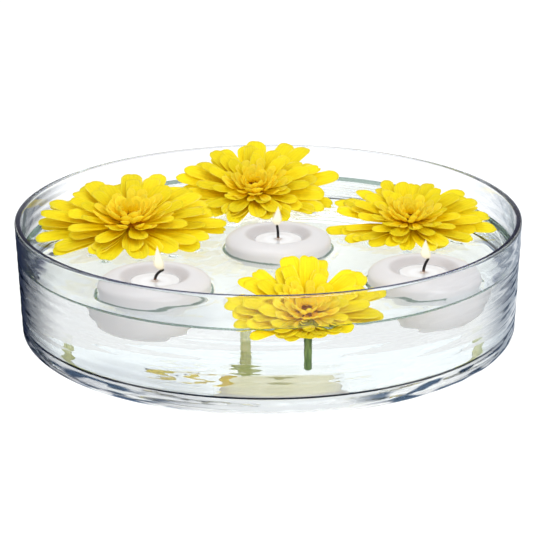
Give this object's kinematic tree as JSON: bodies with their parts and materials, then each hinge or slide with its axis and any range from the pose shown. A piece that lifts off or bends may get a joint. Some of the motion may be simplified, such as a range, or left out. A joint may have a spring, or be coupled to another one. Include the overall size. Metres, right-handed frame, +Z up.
{
  "type": "floating candle bowl",
  "caption": "Low round clear glass bowl of water with floating disc candles and floating yellow double daisies, each of which lifts straight out.",
  "frame": {"origin": "centre of the flat foot, on the surface the bowl stands on", "axes": "+Z up; -Y is the side that faces the picture's camera; +X to its right"},
  "size_m": [0.3, 0.3, 0.0741],
  "materials": {
    "glass": "clear polished soda-lime glass, bluish at its edges",
    "water": "clear still water",
    "wax": "smooth white paraffin wax, slightly translucent",
    "melted_wax": "clear melted wax, wet and glossy",
    "wick": "burnt braided cotton",
    "tab": "thin bright tinned metal",
    "petals": "soft yellow petals with fine grooves along them",
    "florets": "deeper yellow curled petals",
    "greens": "green stem and bracts"
  },
  "bodies": {
    "root": {"bowl": "glass", "water": "water"},
    "left_candle_body": {"left_candle": "wax", "left_pool": "melted_wax", "left_wick": "wick", "left_wick_tab": "tab"},
    "middle_candle_body": {"middle_candle": "wax", "middle_pool": "melted_wax", "middle_wick": "wick", "middle_wick_tab": "tab"},
    "right_candle_body": {"right_candle": "wax", "right_pool": "melted_wax", "right_wick": "wick", "right_wick_tab": "tab"},
    "left_flower_body": {"left_flower_outer_petals": "petals", "left_flower_inner_petals": "petals", "left_flower_florets": "florets", "left_flower_calyx": "greens", "left_flower_stem": "greens"},
    "back_flower_body": {"back_flower_outer_petals": "petals", "back_flower_inner_petals": "petals", "back_flower_florets": "florets", "back_flower_calyx": "greens", "back_flower_stem": "greens"},
    "right_flower_body": {"right_flower_outer_petals": "petals", "right_flower_inner_petals": "petals", "right_flower_florets": "florets", "right_flower_calyx": "greens", "right_flower_stem": "greens"},
    "front_flower_body": {"front_flower_outer_petals": "petals", "front_flower_inner_petals": "petals", "front_flower_florets": "florets", "front_flower_calyx": "greens", "front_flower_stem": "greens"}
  },
  "joints": [
    {"name": "left_candle_lift", "type": "slide", "parent": "root", "child": "left_candle_body", "axis": [0, 0, 1], "range_m": [0, 0.08]},
    {"name": "middle_candle_lift", "type": "slide", "parent": "root", "child": "middle_candle_body", "axis": [0, 0, 1], "range_m": [0, 0.08]},
    {"name": "right_candle_lift", "type": "slide", "parent": "root", "child": "right_candle_body", "axis": [0, 0, 1], "range_m": [0, 0.08]},
    {"name": "left_flower_lift", "type": "slide", "parent": "root", "child": "left_flower_body", "axis": [0, 0, 1], "range_m": [0, 0.08]},
    {"name": "back_flower_lift", "type": "slide", "parent": "root", "child": "back_flower_body", "axis": [0, 0, 1], "range_m": [0, 0.08]},
    {"name": "right_flower_lift", "type": "slide", "parent": "root", "child": "right_flower_body", "axis": [0, 0, 1], "range_m": [0, 0.08]},
    {"name": "front_flower_lift", "type": "slide", "parent": "root", "child": "front_flower_body", "axis": [0, 0, 1], "range_m": [0, 0.08]}
  ]
}
